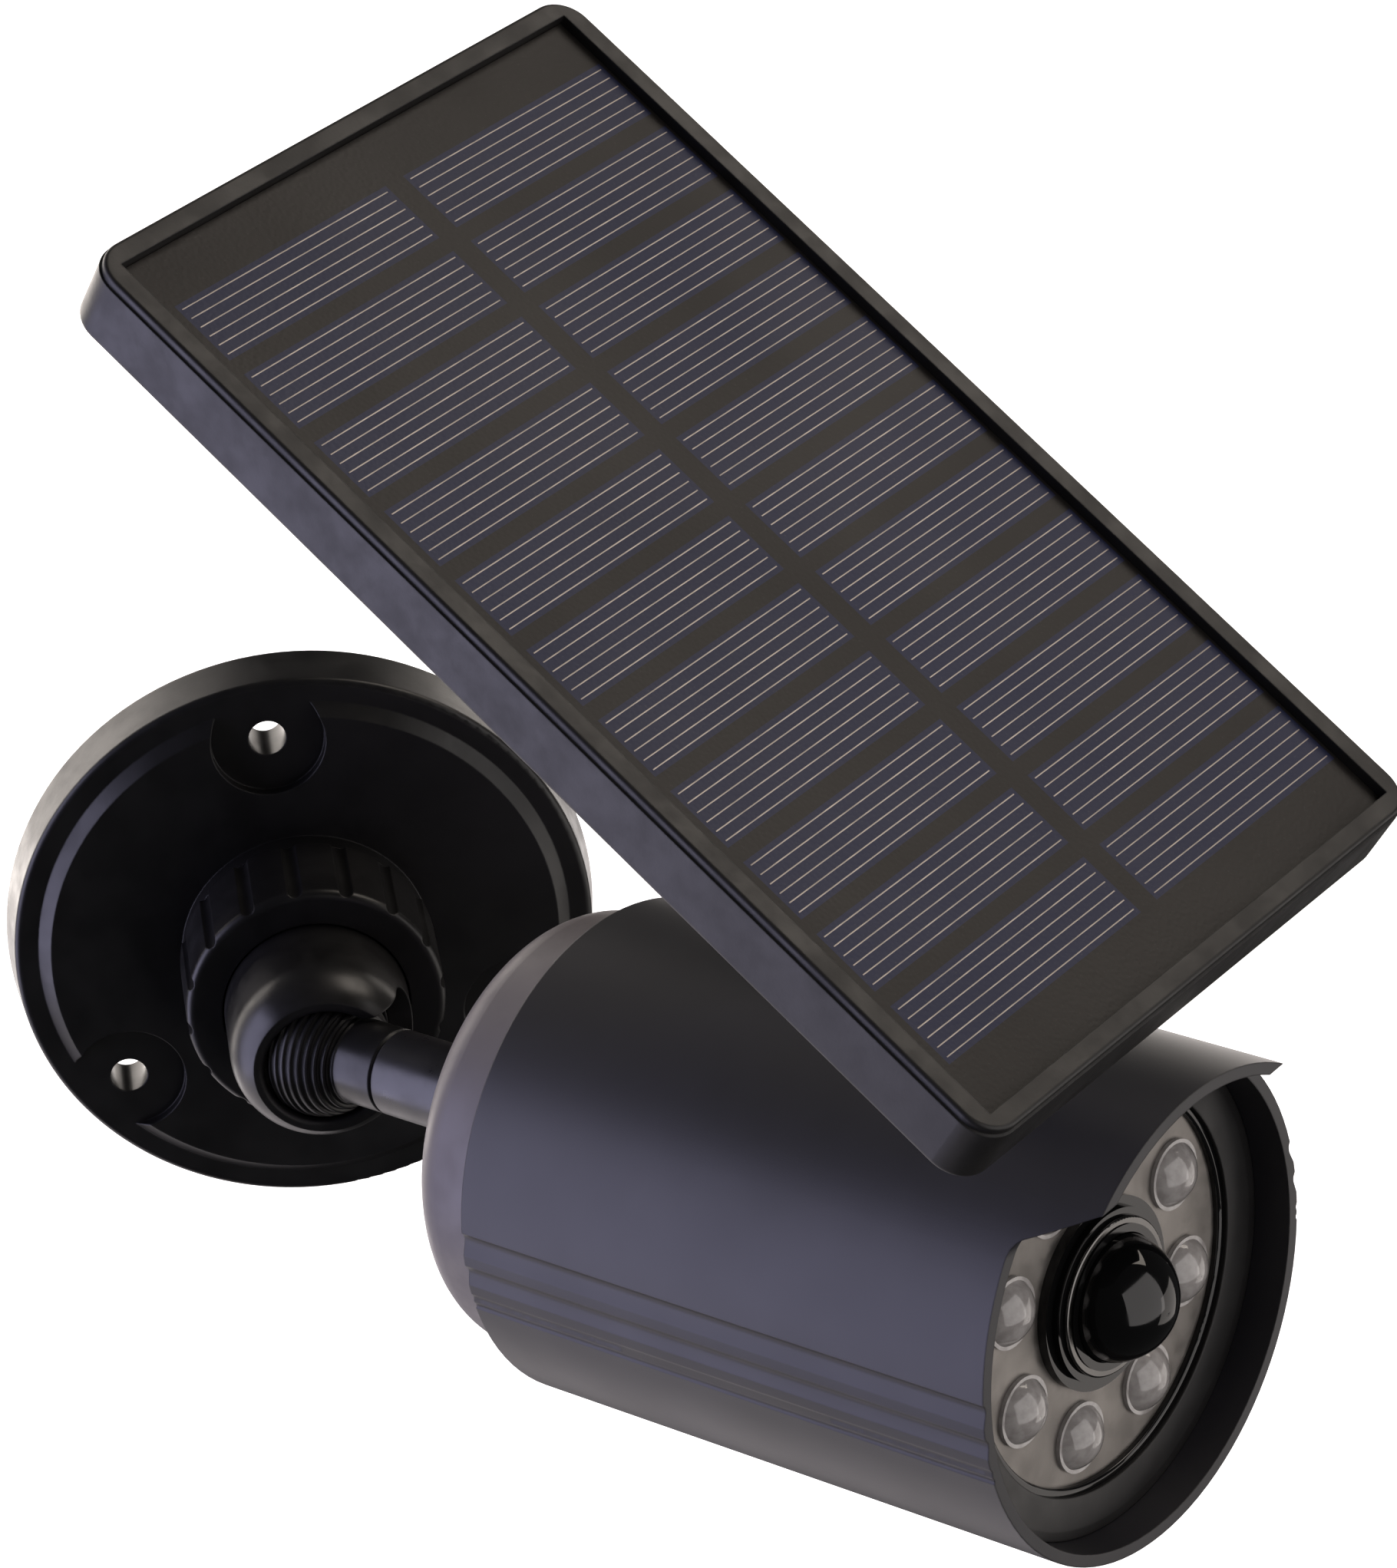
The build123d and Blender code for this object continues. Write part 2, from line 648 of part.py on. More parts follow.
def motion_sensor():
    low = -PLATE_REAR
    step = low + PIR_FLANGE_T
    return disc(PIR_FLANGE_R, low, step) + disc(PIR_CAN_R, step, low + PIR_CAN_H)


# ---- inside ------------------------------------------------------------------------
def board_posts():
    """Places of the control board's four posts, across and along the housing."""
    first = CHASSIS_REAR + BOARD_START + BOARD_INSET
    for x in (-BOARD_HALF_W + BOARD_INSET, BOARD_HALF_W - BOARD_INSET):
        for z in (first, first + BOARD_L - 2 * BOARD_INSET):
            yield x, z


def chassis():
    low = CHASSIS_Y - CHASSIS_T
    body = block(-CHASSIS_HALF_W, CHASSIS_HALF_W, low, CHASSIS_Y, CHASSIS_REAR, CHASSIS_FRONT)
    for x, z in board_posts():
        post = disc(POST_R, 0, BOARD_DROP) - disc(SMALL_SCREW_R, 0, POST_SCREW_L + TIP)
        body += Pos(x, low - BOARD_DROP, z) * Rot(-90, 0, 0) * post
    for side in (-1, 1):
        x = side * CAP_SCREW_X
        half = CAP_BOSS_SIDE / 2
        end = CHASSIS_REAR + CAP_BOSS_L
        body += block(x - half, x + half, low, CHASSIS_Y + half, CHASSIS_REAR, end)
        body -= disc(CAP_SCREW_R, CHASSIS_REAR, end, x, CHASSIS_Y)
    return body


def cell_place():
    middle = (CHASSIS_REAR + CHASSIS_FRONT) / 2
    return middle - CELL_L / 2, CHASSIS_Y + HOLDER_WALL + CELL_R


def battery_holder():
    low, height = cell_place()
    wide = CELL_R + HOLDER_WALL
    top = height + HOLDER_RISE
    mouth = CELL_R - HOLDER_LIP
    body = block(-wide, wide, CHASSIS_Y, top, low - HOLDER_END, low + CELL_L + HOLDER_END)
    body -= disc(CELL_R + FIT, low, low + CELL_L, 0, height)
    return body - block(-mouth, mouth, height, top + PAST, low, low + CELL_L)


def battery_cell():
    low, height = cell_place()
    end = low + CELL_L - TERMINAL_H
    body = disc(CELL_R, low, end)
    body = fillet(circle_edges(body, CELL_R, low) + circle_edges(body, CELL_R, end), SOFT_ROUND)
    return Pos(0, height, 0) * (body + disc(TERMINAL_R, end, low + CELL_L))


def board_top():
    return CHASSIS_Y - CHASSIS_T - BOARD_DROP


def control_board():
    top = board_top()
    start = CHASSIS_REAR + BOARD_START
    body = block(-BOARD_HALF_W, BOARD_HALF_W, top - BOARD_T, top, start, start + BOARD_L)
    for x, z in board_posts():
        body -= Pos(x, top - BOARD_T, z) * Rot(-90, 0, 0) * disc(SMALL_SCREW_R + FIT, 0, BOARD_T)
    return body


def board_screws():
    one = small_screw(BOARD_T + POST_SCREW_L)
    low = board_top() - BOARD_T
    return group(Pos(x, low, z) * Rot(-90, 0, 0) * one for x, z in board_posts())


# ---- push button, heights along local Z up from the housing's axis -------------------
def button_frame():
    return HEAD * Location((0, 0, BUTTON_Z), (-90, 0, 0))


def button_flange_low():
    return -math.sqrt(TUBE_BORE**2 - BUTTON_FLANGE_R**2) + BUTTON_GAP


def mode_button():
    low = button_flange_low()
    body = disc(BUTTON_R, -TUBE_R - BUTTON_PROUD, low)
    body = fillet(circle_edges(body, BUTTON_R, -TUBE_R - BUTTON_PROUD), SOFT_ROUND)
    body += disc(BUTTON_FLANGE_R, low, low + BUTTON_FLANGE_T)
    return body + disc(PLUNGER_R, low, low + BUTTON_FLANGE_T + PLUNGER_L)


def mode_switch():
    key = button_flange_low() + BUTTON_FLANGE_T + PLUNGER_L + BUTTON_TRAVEL + TIP
    top = board_top() - BOARD_T
    half = SWITCH_SIDE / 2
    body = block(-half, half, -half, half, key + SWITCH_KEY_H, top)
    return body + disc(SWITCH_KEY_R, key, key + SWITCH_KEY_H)


# ---- panel post, heights along local Z up from the housing's axis --------------------
def panel_saddle():
    body = disc(SADDLE_R, TUBE_BORE, SADDLE_TOP)
    body = fillet(circle_edges(body, SADDLE_R, SADDLE_TOP), SADDLE_ROUND)
    body -= disc(PIN_R, TUBE_BORE, SADDLE_TOP)
    body -= Rot(90, 0, 0) * disc(TUBE_R, -SADDLE_R - PAST, SADDLE_R + PAST)
    for side in (-1, 1):
        body -= disc(SADDLE_SCREW_R, TUBE_BORE, SADDLE_TOP - SADDLE_SKIN, side * SADDLE_SCREW_X)
    return body


def saddle_screws():
    seat = math.sqrt(TUBE_BORE**2 - (SADDLE_SCREW_X + SADDLE_HEAD_R) ** 2)
    length = SADDLE_TOP - SADDLE_SKIN - TIP - seat
    one = screw(SADDLE_HEAD_R, SADDLE_HEAD_H, SADDLE_SCREW_R - FIT / 2, length)
    return group(Pos(side * SADDLE_SCREW_X, 0, seat) * one for side in (-1, 1))


def panel_post():
    shoulder = PIVOT_H - TONGUE_CLEAR
    pin = PIN_R - RUN
    body = disc(pin, PIN_END, SADDLE_TOP) - ring(pin, CLIP_GROOVE_R, CLIP_H, CLIP_H + CLIP_T)
    collar = disc(COLLAR_POST_R, SADDLE_TOP, SADDLE_TOP + COLLAR_POST_H)
    body += fillet(circle_edges(collar, COLLAR_POST_R, SADDLE_TOP + COLLAR_POST_H), SADDLE_ROUND)
    body += disc(POST_COLUMN_R, SADDLE_TOP + COLLAR_POST_H, shoulder)
    body += turned(
        (0, shoulder - SHOULDER_H), (POST_COLUMN_R, shoulder - SHOULDER_H),
        (TONGUE_R, shoulder - SHOULDER_H / 2), (TONGUE_R, shoulder), (0, shoulder),
    )
    half = TONGUE_W / 2
    root = shoulder - SHOULDER_H / 2
    tongue = block(-half, half, -TONGUE_R, TONGUE_R, root, PIVOT_H) & disc(TONGUE_R, root, PIVOT_H)
    body += tongue + cross_pin(TONGUE_R, -half, half, PIVOT_H)
    body -= cross_pin(BOLT_R + RUN, -half - PAST, half + PAST, PIVOT_H)
    wire_top = shoulder - SHOULDER_H - WIRE_EXIT
    body -= disc(WIRE_R, PIN_END, wire_top)
    return body - cross_pin(WIRE_R, 0, POST_COLUMN_R + PAST, wire_top)


def post_clip():
    body = ring(CLIP_R, CLIP_GROOVE_R, CLIP_H, CLIP_H + CLIP_T)
    half = CLIP_MOUTH / 2
    return body - block(-half, half, 0, CLIP_R + PAST, CLIP_H, CLIP_H + CLIP_T)


# ---- solar panel -----------------------------------------------------------------------
def bracket_holes():
    for x in (-BRACKET_W / 2 + BRACKET_EDGE, BRACKET_W / 2 - BRACKET_EDGE):
        for y in (-BRACKET_L / 2 + BRACKET_EDGE, BRACKET_L / 2 - BRACKET_EDGE):
            yield x, y


def panel_bracket():
    low = TRAY_BOTTOM - BRACKET_T
    inner = TONGUE_W / 2 + EAR_GAP
    body = slab(BRACKET_W, BRACKET_L, BRACKET_CORNER, low, TRAY_BOTTOM)
    for side in (-1, 1):
        x0, x1 = sorted((side * inner, side * (inner + EAR_T)))
        body += block(x0, x1, -EAR_R, EAR_R, 0, TRAY_BOTTOM) + cross_pin(EAR_R, x0, x1)
    body -= cross_pin(BOLT_R + RUN, -inner - EAR_T - PAST, inner + EAR_T + PAST)
    for x, y in bracket_holes():
        body -= disc(SMALL_SCREW_R + FIT, low, TRAY_BOTTOM, x, y)
    return body


def bracket_screws():
    one = small_screw(BRACKET_T + COVER_T - TIP)
    return group(Pos(x, y, TRAY_BOTTOM - BRACKET_T) * one for x, y in bracket_holes())


def tilt_bolt():
    reach = TONGUE_W / 2 + EAR_GAP + EAR_T
    length = 2 * reach + BOLT_NUT_T + BOLT_TAIL
    return Pos(reach, 0, 0) * Rot(0, -90, 0) * screw(BOLT_HEAD_R, BOLT_HEAD_H, BOLT_R, length)


def tilt_nut():
    reach = TONGUE_W / 2 + EAR_GAP + EAR_T
    nut = extrude(RegularPolygon(BOLT_NUT_AF / 2, 6, major_radius=False), BOLT_NUT_T)
    nut -= disc(BOLT_R + RUN, 0, BOLT_NUT_T)
    return Pos(-reach, 0, 0) * Rot(0, -90, 0) * nut


def panel_tray():
    low = TRAY_BOTTOM
    line = PIVOT_DROP - RIM_STEP_T
    body = slab(PANEL_W, PANEL_L, PANEL_CORNER_R, low, line)
    body = fillet(body.faces().sort_by(Axis.Z)[0].edges(), BACK_ROUND)
    upper = slab(
        PANEL_W - 2 * RIM_STEP, PANEL_L - 2 * RIM_STEP, PANEL_CORNER_R - RIM_STEP, line, PIVOT_DROP
    )
    body += fillet(upper.faces().sort_by(Axis.Z)[-1].edges(), RIM_ROUND)
    body -= slab(OPENING_W, OPENING_L, 0, PV_BOTTOM, PIVOT_DROP)
    body -= slab(OPENING_W, OPENING_L, 0, low, low + COVER_T)
    floor = PV_BOTTOM - TRAY_FLOOR
    hollow = slab(OPENING_W - 2 * LEDGE, OPENING_L - 2 * LEDGE, 0, low, floor)
    for x, y in cover_places():
        hollow -= disc(COVER_POST_R, low, PV_BOTTOM, x, y)
    body -= hollow
    for x, y in cover_places():
        body -= disc(SMALL_SCREW_R, low, PV_BOTTOM - COVER_SKIN, x, y)
    return Pos(0, PANEL_SHIFT, 0) * (body - disc(WIRE_HOLE_R, low, PV_BOTTOM))


def cover_places():
    across = OPENING_W / 2 - COVER_SCREW_INSET
    along = OPENING_L / 2 - COVER_SCREW_INSET
    for x in (-across, across):
        for y in (-along, along):
            yield x, y


def back_cover():
    low = TRAY_BOTTOM
    body = slab(OPENING_W - 2 * FIT, OPENING_L - 2 * FIT, 0, low, low + COVER_T)
    for x, y in cover_places():
        body -= disc(SMALL_SCREW_R + FIT, low, low + COVER_T, x, y)
    body = Pos(0, PANEL_SHIFT, 0) * body
    for x, y in bracket_holes():
        body -= disc(SMALL_SCREW_R, low, low + COVER_T, x, y)
    return body


def cover_screws():
    one = small_screw(PV_BOTTOM - COVER_SKIN - TIP - TRAY_BOTTOM)
    return group(Pos(x, y + PANEL_SHIFT, TRAY_BOTTOM) * one for x, y in cover_places())


def cell_places():
    for row in range(CELL_ROWS):
        y = PANEL_SHIFT + (row - (CELL_ROWS - 1) / 2) * CELL_PITCH
        for side in (-1, 1):
            yield CELL_SHIFT + side * (CELL_W + CELL_GAP) / 2, y


def pv_cells():
    low = PV_TOP - CELL_T
    half_w, half_h = CELL_W / 2, CELL_H / 2
    return group(
        block(x - half_w, x + half_w, y - half_h, y + half_h, low, PV_TOP)
        for x, y in cell_places()
    )


def pv_board():
    body = slab(OPENING_W - 2 * FIT, OPENING_L - 2 * FIT, 0, PV_BOTTOM, PV_TOP)
    body = Pos(0, PANEL_SHIFT, 0) * body
    return body - pv_cells()


# ---- write every piece -------------------------------------------------------------------
PIECES = [
    ("wall_plate", wall_plate, PLATE),
    ("locking_ring", locking_ring, PLATE),
    ("swivel_socket", swivel_socket, PLATE),
    ("seat_spring", seat_spring, PLATE),
    ("ball_seat", ball_seat, PLATE),
    ("ball_stud", ball_stud, HEAD),
    ("arm_tube", arm_tube, HEAD),
    ("arm_washer", arm_washer, HEAD),
    ("arm_nut", arm_nut, HEAD),
    ("rear_cap", rear_cap, HEAD),
    ("rear_gasket", lambda: seal_ring(TUBE_REAR + (SPIGOT_LEN - SEAL_W) / 2), HEAD),
    ("cap_screws", cap_screws, HEAD),
    ("body_tube", body_tube, HEAD),
    ("front_bezel", front_bezel, FRONT),
    ("front_gasket", front_gasket, FRONT),
    ("lens_ring", lens_ring, FRONT),
    ("led_plate", led_plate, FRONT),
    ("led_lenses", led_lenses, FRONT),
    ("led_chips", led_chips, FRONT),
    ("led_board", led_board, FRONT),
    ("led_board_screws", led_board_screws, FRONT),
    ("sensor_collar", sensor_collar, FRONT),
    ("trim_ring", trim_ring, FRONT),
    ("sensor_dome", sensor_dome, FRONT),
    ("motion_sensor", motion_sensor, FRONT),
    ("chassis", chassis, HEAD),
    ("battery_holder", battery_holder, HEAD),
    ("battery_cell", battery_cell, HEAD),
    ("control_board", control_board, HEAD),
    ("board_screws", board_screws, HEAD),
    ("mode_button", mode_button, button_frame()),
    ("mode_switch", mode_switch, button_frame()),
    ("panel_saddle", panel_saddle, POST),
    ("saddle_screws", saddle_screws, POST),
    ("panel_post", panel_post, POST),
    ("post_clip", post_clip, POST),
    ("panel_bracket", panel_bracket, PANEL),
    ("bracket_screws", bracket_screws, PANEL),
    ("tilt_bolt", tilt_bolt, PANEL),
    ("tilt_nut", tilt_nut, PANEL),
    ("panel_tray", panel_tray, PANEL),
    ("back_cover", back_cover, PANEL),
    ("cover_screws", cover_screws, PANEL),
    ("pv_board", pv_board, PANEL),
    ("pv_cells", pv_cells, PANEL),
]

os.makedirs("parts", exist_ok=True)
for name, make, place in PIECES:
    save(name, make(), place)
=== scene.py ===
import json
import math

import bmesh
import bpy
from mathutils import Matrix, Vector


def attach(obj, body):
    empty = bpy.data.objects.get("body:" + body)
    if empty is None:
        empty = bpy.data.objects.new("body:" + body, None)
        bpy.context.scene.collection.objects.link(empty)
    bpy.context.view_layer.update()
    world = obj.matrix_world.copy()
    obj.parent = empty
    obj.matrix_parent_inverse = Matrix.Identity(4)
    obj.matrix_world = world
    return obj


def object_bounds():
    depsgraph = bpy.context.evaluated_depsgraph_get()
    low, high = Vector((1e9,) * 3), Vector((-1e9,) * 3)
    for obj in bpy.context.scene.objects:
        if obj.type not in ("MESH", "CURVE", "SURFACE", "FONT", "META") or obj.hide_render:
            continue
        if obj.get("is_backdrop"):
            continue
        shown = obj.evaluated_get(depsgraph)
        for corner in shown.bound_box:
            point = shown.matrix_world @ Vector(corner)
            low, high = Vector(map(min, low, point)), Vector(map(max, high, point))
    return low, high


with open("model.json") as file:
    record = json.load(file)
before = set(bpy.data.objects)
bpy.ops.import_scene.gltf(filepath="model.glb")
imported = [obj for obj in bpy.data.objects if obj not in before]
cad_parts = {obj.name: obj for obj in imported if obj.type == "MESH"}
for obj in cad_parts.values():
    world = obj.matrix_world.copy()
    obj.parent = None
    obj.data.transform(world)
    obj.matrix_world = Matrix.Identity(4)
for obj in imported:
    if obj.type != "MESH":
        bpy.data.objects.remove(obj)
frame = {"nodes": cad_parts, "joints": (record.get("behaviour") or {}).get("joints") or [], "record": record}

# The looks of a solar security camera: finishes for every piece, the silver lines on the cells, light and camera.
# Metres, in the part's own frame: the wall is the XZ plane and the plate faces -Y.

CAD_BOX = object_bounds()
NODES = frame["nodes"]
JOINTS = {j["name"]: j for j in frame["joints"]}
MM = 0.001

# ---- sizes the looks need, in millimetres -----------------------------------------
PANEL_PITCH_DEG = 36.5
PV_TOP = 19.1            # cell surface above the tilt pivot
PANEL_SHIFT = 26.2       # panel centre behind the pivot
CELL_W, CELL_H = 40.0, 10.0
CELL_GAP, CELL_PITCH, CELL_ROWS, CELL_SHIFT = 3.4, 12.55, 11, 0.9
FINGERS = 6
FINGER_PITCH = 1.65
FINGER_W = 0.17
FINGER_INSET = 0.55
FINGER_T = 0.03
RIM_AHEAD = 144.5        # housing's front rim from the ball centre
LED_COUNT, LED_PITCH_R = 8, 19.8
LED_FLOOR = 9.8          # top of the LED chips behind the rim
DIE_SIDE, DIE_T = 1.5, 0.12


# ---- frames -----------------------------------------------------------------------
def matrix(origin, x, y, z):
    """A 4x4 matrix from an origin and three axes."""
    rows = Matrix((x, y, z)).transposed().to_4x4()
    rows.translation = origin
    return rows


def panel_frame():
    """The panel's own frame: X across, Y up the slope, Z out of the cells."""
    tilt = JOINTS["panel_tilt"]
    across = Vector(tilt["axis"]).normalized()
    up = Vector((0, 0, 1))
    ahead = across.cross(up)
    pitch = math.radians(PANEL_PITCH_DEG)
    normal = up * math.cos(pitch) + ahead * math.sin(pitch)
    return matrix(Vector(tilt["pos_m"]), across, normal.cross(across), normal)


def front_frame():
    """The front's frame: origin at the centre of the rim, Z straight ahead."""
    ball = Vector(JOINTS["arm_swing"]["pos_m"])
    ahead = Vector(JOINTS["head_roll"]["axis"]).normalized()
    up = Vector((0, 0, 1))
    return matrix(ball + ahead * RIM_AHEAD * MM, up.cross(ahead), up, ahead)


# ---- materials ---------------------------------------------------------------------
class Nodes:
    """A short way to write a material's node tree."""

    def __init__(self, name):
        self.material = bpy.data.materials.new(name)
        self.material.use_nodes = True
        self.tree = self.material.node_tree
        self.tree.nodes.clear()
        self.out = self.tree.nodes.new("ShaderNodeOutputMaterial")
        self.shader = self.tree.nodes.new("ShaderNodeBsdfPrincipled")
        self.tree.links.new(self.shader.outputs[0], self.out.inputs[0])
        self.coords = self.tree.nodes.new("ShaderNodeTexCoord").outputs["Object"]

    def add(self, kind, **values):
        node = self.tree.nodes.new(kind)
        for key, value in values.items():
            setattr(node, key, value)
        return node

    def link(self, source, target):
        self.tree.links.new(source, target)

    def put(self, **sockets):
        for name, value in sockets.items():
            self.shader.inputs[name.replace("_", " ")].default_value = value

    def noise(self, size_mm, detail=3.0, rough=0.5, stretch=None):
        """Noise whose grain is about size_mm across."""
        node = self.add("ShaderNodeTexNoise")
        node.inputs["Scale"].default_value = 1.0 / (size_mm * MM)
        node.inputs["Detail"].default_value = detail
        node.inputs["Roughness"].default_value = rough
        source = self.coords
        if stretch:
            mapping = self.add("ShaderNodeMapping")
            mapping.inputs["Scale"].default_value = stretch
            self.link(self.coords, mapping.inputs["Vector"])
            source = mapping.outputs[0]
        self.link(source, node.inputs["Vector"])
        return node.outputs["Fac"]

    def ramp(self, value, low, high, start=0.35, end=0.65):
        """Maps a 0 to 1 value to a smooth step between two numbers."""
        node = self.add("ShaderNodeMapRange", interpolation_type="SMOOTHSTEP")
        node.inputs["From Min"].default_value = start
        node.inputs["From Max"].default_value = end
        node.inputs["To Min"].default_value = low
        node.inputs["To Max"].default_value = high
        self.link(value, node.inputs["Value"])
        return node.outputs["Result"]

    def mix(self, value, dark, light):
        """A colour between two, by a value. Each colour is a triple or a socket."""
        node = self.add("ShaderNodeMix", data_type="RGBA")
        self.link(value, node.inputs["Factor"])
        for socket, colour in ((node.inputs[6], dark), (node.inputs[7], light)):
            if isinstance(colour, tuple):
                socket.default_value = (*colour, 1.0)
            else:
                self.link(colour, socket)
        return node.outputs[2]

    def bump(self, height, depth_mm, strength=1.0, base=None):
        node = self.add("ShaderNodeBump")
        node.inputs["Strength"].default_value = strength
        node.inputs["Distance"].default_value = depth_mm * MM
        self.link(height, node.inputs["Height"])
        if base:
            self.link(base, node.inputs["Normal"])
        return node.outputs["Normal"]

    def edges(self, radius_mm=0.35):
        """A rounded normal, and how much it turns from the flat one: 0 inside a face, up to 1 at an edge."""
        bevel = self.add("ShaderNodeBevel", samples=4)
        bevel.inputs["Radius"].default_value = radius_mm * MM
        normal = self.add("ShaderNodeNewGeometry").outputs["Normal"]
        dot = self.add("ShaderNodeVectorMath", operation="DOT_PRODUCT")
        self.link(bevel.outputs[0], dot.inputs[0])
        self.link(normal, dot.inputs[1])
        return bevel.outputs[0], self.ramp(dot.outputs["Value"], 1.0, 0.0, 0.75, 0.99)


def moulded(name, colour, roughness, grain_mm=0.5, grain_depth_mm=0.02, edge_light=0.5, spec=0.5,
            mottling=0.18, coat=0.0, coat_roughness=0.2):
    """Injection-moulded or coated black: fine pebble, uneven sheen and slightly rubbed edges."""
    n = Nodes(name)
    normal, edge = n.edges()
    patch = n.noise(18.0, 4.0, 0.6)
    dark = tuple(c * (1 - mottling) for c in colour)
    light = tuple(c * (1 + mottling) for c in colour)
    body = n.mix(n.ramp(patch, 0.0, 1.0), dark, light)
    rubbed = tuple(min(1.0, c * (1 + 2.2 * edge_light) + 0.012 * edge_light) for c in colour)
    wear = n.add("ShaderNodeMath", operation="MULTIPLY")
    n.link(edge, wear.inputs[0])
    n.link(n.ramp(n.noise(2.5, 3.0), 0.25, 1.0, 0.3, 0.7), wear.inputs[1])
    n.link(n.mix(wear.outputs[0], body, rubbed), n.shader.inputs["Base Color"])
    smear = n.noise(7.0, 5.0, 0.65)
    n.link(n.ramp(smear, roughness - 0.06, roughness + 0.07, 0.3, 0.7), n.shader.inputs["Roughness"])
    grain = n.noise(grain_mm, 2.0)
    n.link(n.bump(grain, grain_depth_mm, 0.6, normal), n.shader.inputs["Normal"])
    n.put(Specular_IOR_Level=spec, Coat_Weight=coat, Coat_Roughness=coat_roughness)
    return n.material


def anodised():
    """The housing's blue-black matte coat, with a fine grain bump."""
    n = Nodes("tube_coat")
    normal, edge = n.edges(0.3)
    body = n.mix(n.ramp(n.noise(30.0, 3.0), 0.0, 1.0), (0.0125, 0.0122, 0.0165), (0.0185, 0.018, 0.024))
    n.link(n.mix(edge, body, (0.045, 0.041, 0.040)), n.shader.inputs["Base Color"])
    n.link(n.ramp(n.noise(14.0, 4.0, 0.5), 0.43, 0.465, 0.2, 0.8), n.shader.inputs["Roughness"])
    n.link(n.bump(n.noise(0.22, 1.0), 0.012, 0.5, normal), n.shader.inputs["Normal"])
    n.put(Metallic=0.0, Specular_IOR_Level=0.62)
    return n.material


def polished(name, colour, roughness=0.05, metallic=0.0):
    """Polished plastic or plating, with faint wipe marks."""
    n = Nodes(name)
    body = n.mix(n.ramp(n.noise(12.0), 0.0, 1.0), tuple(c * 0.8 for c in colour), colour)
    n.link(body, n.shader.inputs["Base Color"])
    n.link(n.ramp(n.noise(3.0, 4.0), roughness, roughness + 0.07), n.shader.inputs["Roughness"])
    n.link(n.bump(n.noise(1.5, 3.0), 0.004, 0.4), n.shader.inputs["Normal"])
    n.put(Metallic=metallic, Specular_IOR_Level=0.6)
    return n.material


def metallised(name, colour, roughness):
    """Vacuum-metallised reflector: soft, slightly uneven silver."""
    n = Nodes(name)
    normal, edge = n.edges(0.2)
    body = n.mix(n.ramp(n.noise(4.0, 4.0), 0.0, 1.0), tuple(c * 0.75 for c in colour), colour)
    n.link(n.mix(edge, body, tuple(min(1.0, c * 1.5) for c in colour)), n.shader.inputs["Base Color"])
    n.link(n.ramp(n.noise(2.0, 4.0), roughness, roughness + 0.12), n.shader.inputs["Roughness"])
    n.link(n.bump(n.noise(0.8, 3.0), 0.015, 0.5, normal), n.shader.inputs["Normal"])
    n.put(Metallic=0.85)
    return n.material


def steel(name="zinc_steel", colour=(0.42, 0.42, 0.43), roughness=0.3):
    """Plated screws and washers, with uneven tone and a fine grain bump."""
    n = Nodes(name)
    body = n.mix(n.ramp(n.noise(1.5, 4.0), 0.0, 1.0), tuple(c * 0.7 for c in colour), colour)
    n.link(body, n.shader.inputs["Base Color"])
    n.link(n.ramp(n.noise(0.8, 4.0), roughness, roughness + 0.2), n.shader.inputs["Roughness"])
    n.link(n.bump(n.noise(0.3, 2.0), 0.01, 0.5), n.shader.inputs["Normal"])
    n.put(Metallic=1.0)
    return n.material


def clear_lens():
    """Moulded clear acrylic. Its light grey base colour, patchy at random, is painted reflection that stands in
    for the reflector and light seen inside the lens.
    """
    n = Nodes("clear_acrylic")
    painted_reflection_mix = n.ramp(n.noise(1.6, 3.0), 0.0, 1.0, 0.3, 0.7)
    # painted reflection: the light grey base colour stands in for the reflector and light seen inside the clear
    # lens
    n.link(n.mix(painted_reflection_mix, (0.52, 0.49, 0.48), (0.70, 0.67, 0.66)), n.shader.inputs["Base Color"])
    n.put(Transmission_Weight=0.35, IOR=1.46, Coat_Weight=1.0, Coat_Roughness=0.08)
    n.link(n.ramp(n.noise(2.0, 3.0), 0.05, 0.16), n.shader.inputs["Roughness"])
    n.link(n.bump(n.noise(1.2, 2.0), 0.02, 0.5), n.shader.inputs["Normal"])
    return n.material


def pv_film(name, dark, light, fibre):
    """A laminate under pebbled film: the colour below, the pebble in the normal and a soft coat on top."""
    n = Nodes(name)
    patch = n.ramp(n.noise(40.0, 3.0, 0.5), 0.0, 1.0, 0.2, 0.8)
    body = n.mix(patch, dark, light)
    fleck = n.ramp(n.noise(0.35, 2.0), 0.0, fibre, 0.62, 0.8)
    n.link(n.mix(fleck, body, (0.16, 0.15, 0.15)), n.shader.inputs["Base Color"])
    n.link(n.ramp(n.noise(30.0, 2.0), 0.48, 0.54, 0.2, 0.8), n.shader.inputs["Roughness"])
    cells = n.add("ShaderNodeTexVoronoi", feature="SMOOTH_F1")
    cells.inputs["Scale"].default_value = 1.0 / (0.62 * MM)
    n.link(n.coords, cells.inputs["Vector"])
    n.link(n.bump(cells.outputs["Distance"], 0.07, 0.55), n.shader.inputs["Normal"])
    n.put(Specular_IOR_Level=0.42)
    return n.material


def board(name, colour):
    """Solder mask over copper tracks."""
    n = Nodes(name)
    body = n.mix(n.ramp(n.noise(3.0, 2.0), 0.0, 1.0, 0.48, 0.52), colour, tuple(c * 1.3 for c in colour))
    n.link(body, n.shader.inputs["Base Color"])
    n.link(n.ramp(n.noise(2.0), 0.25, 0.4), n.shader.inputs["Roughness"])
    n.link(n.bump(n.noise(3.0, 2.0), 0.03, 0.4), n.shader.inputs["Normal"])
    return n.material


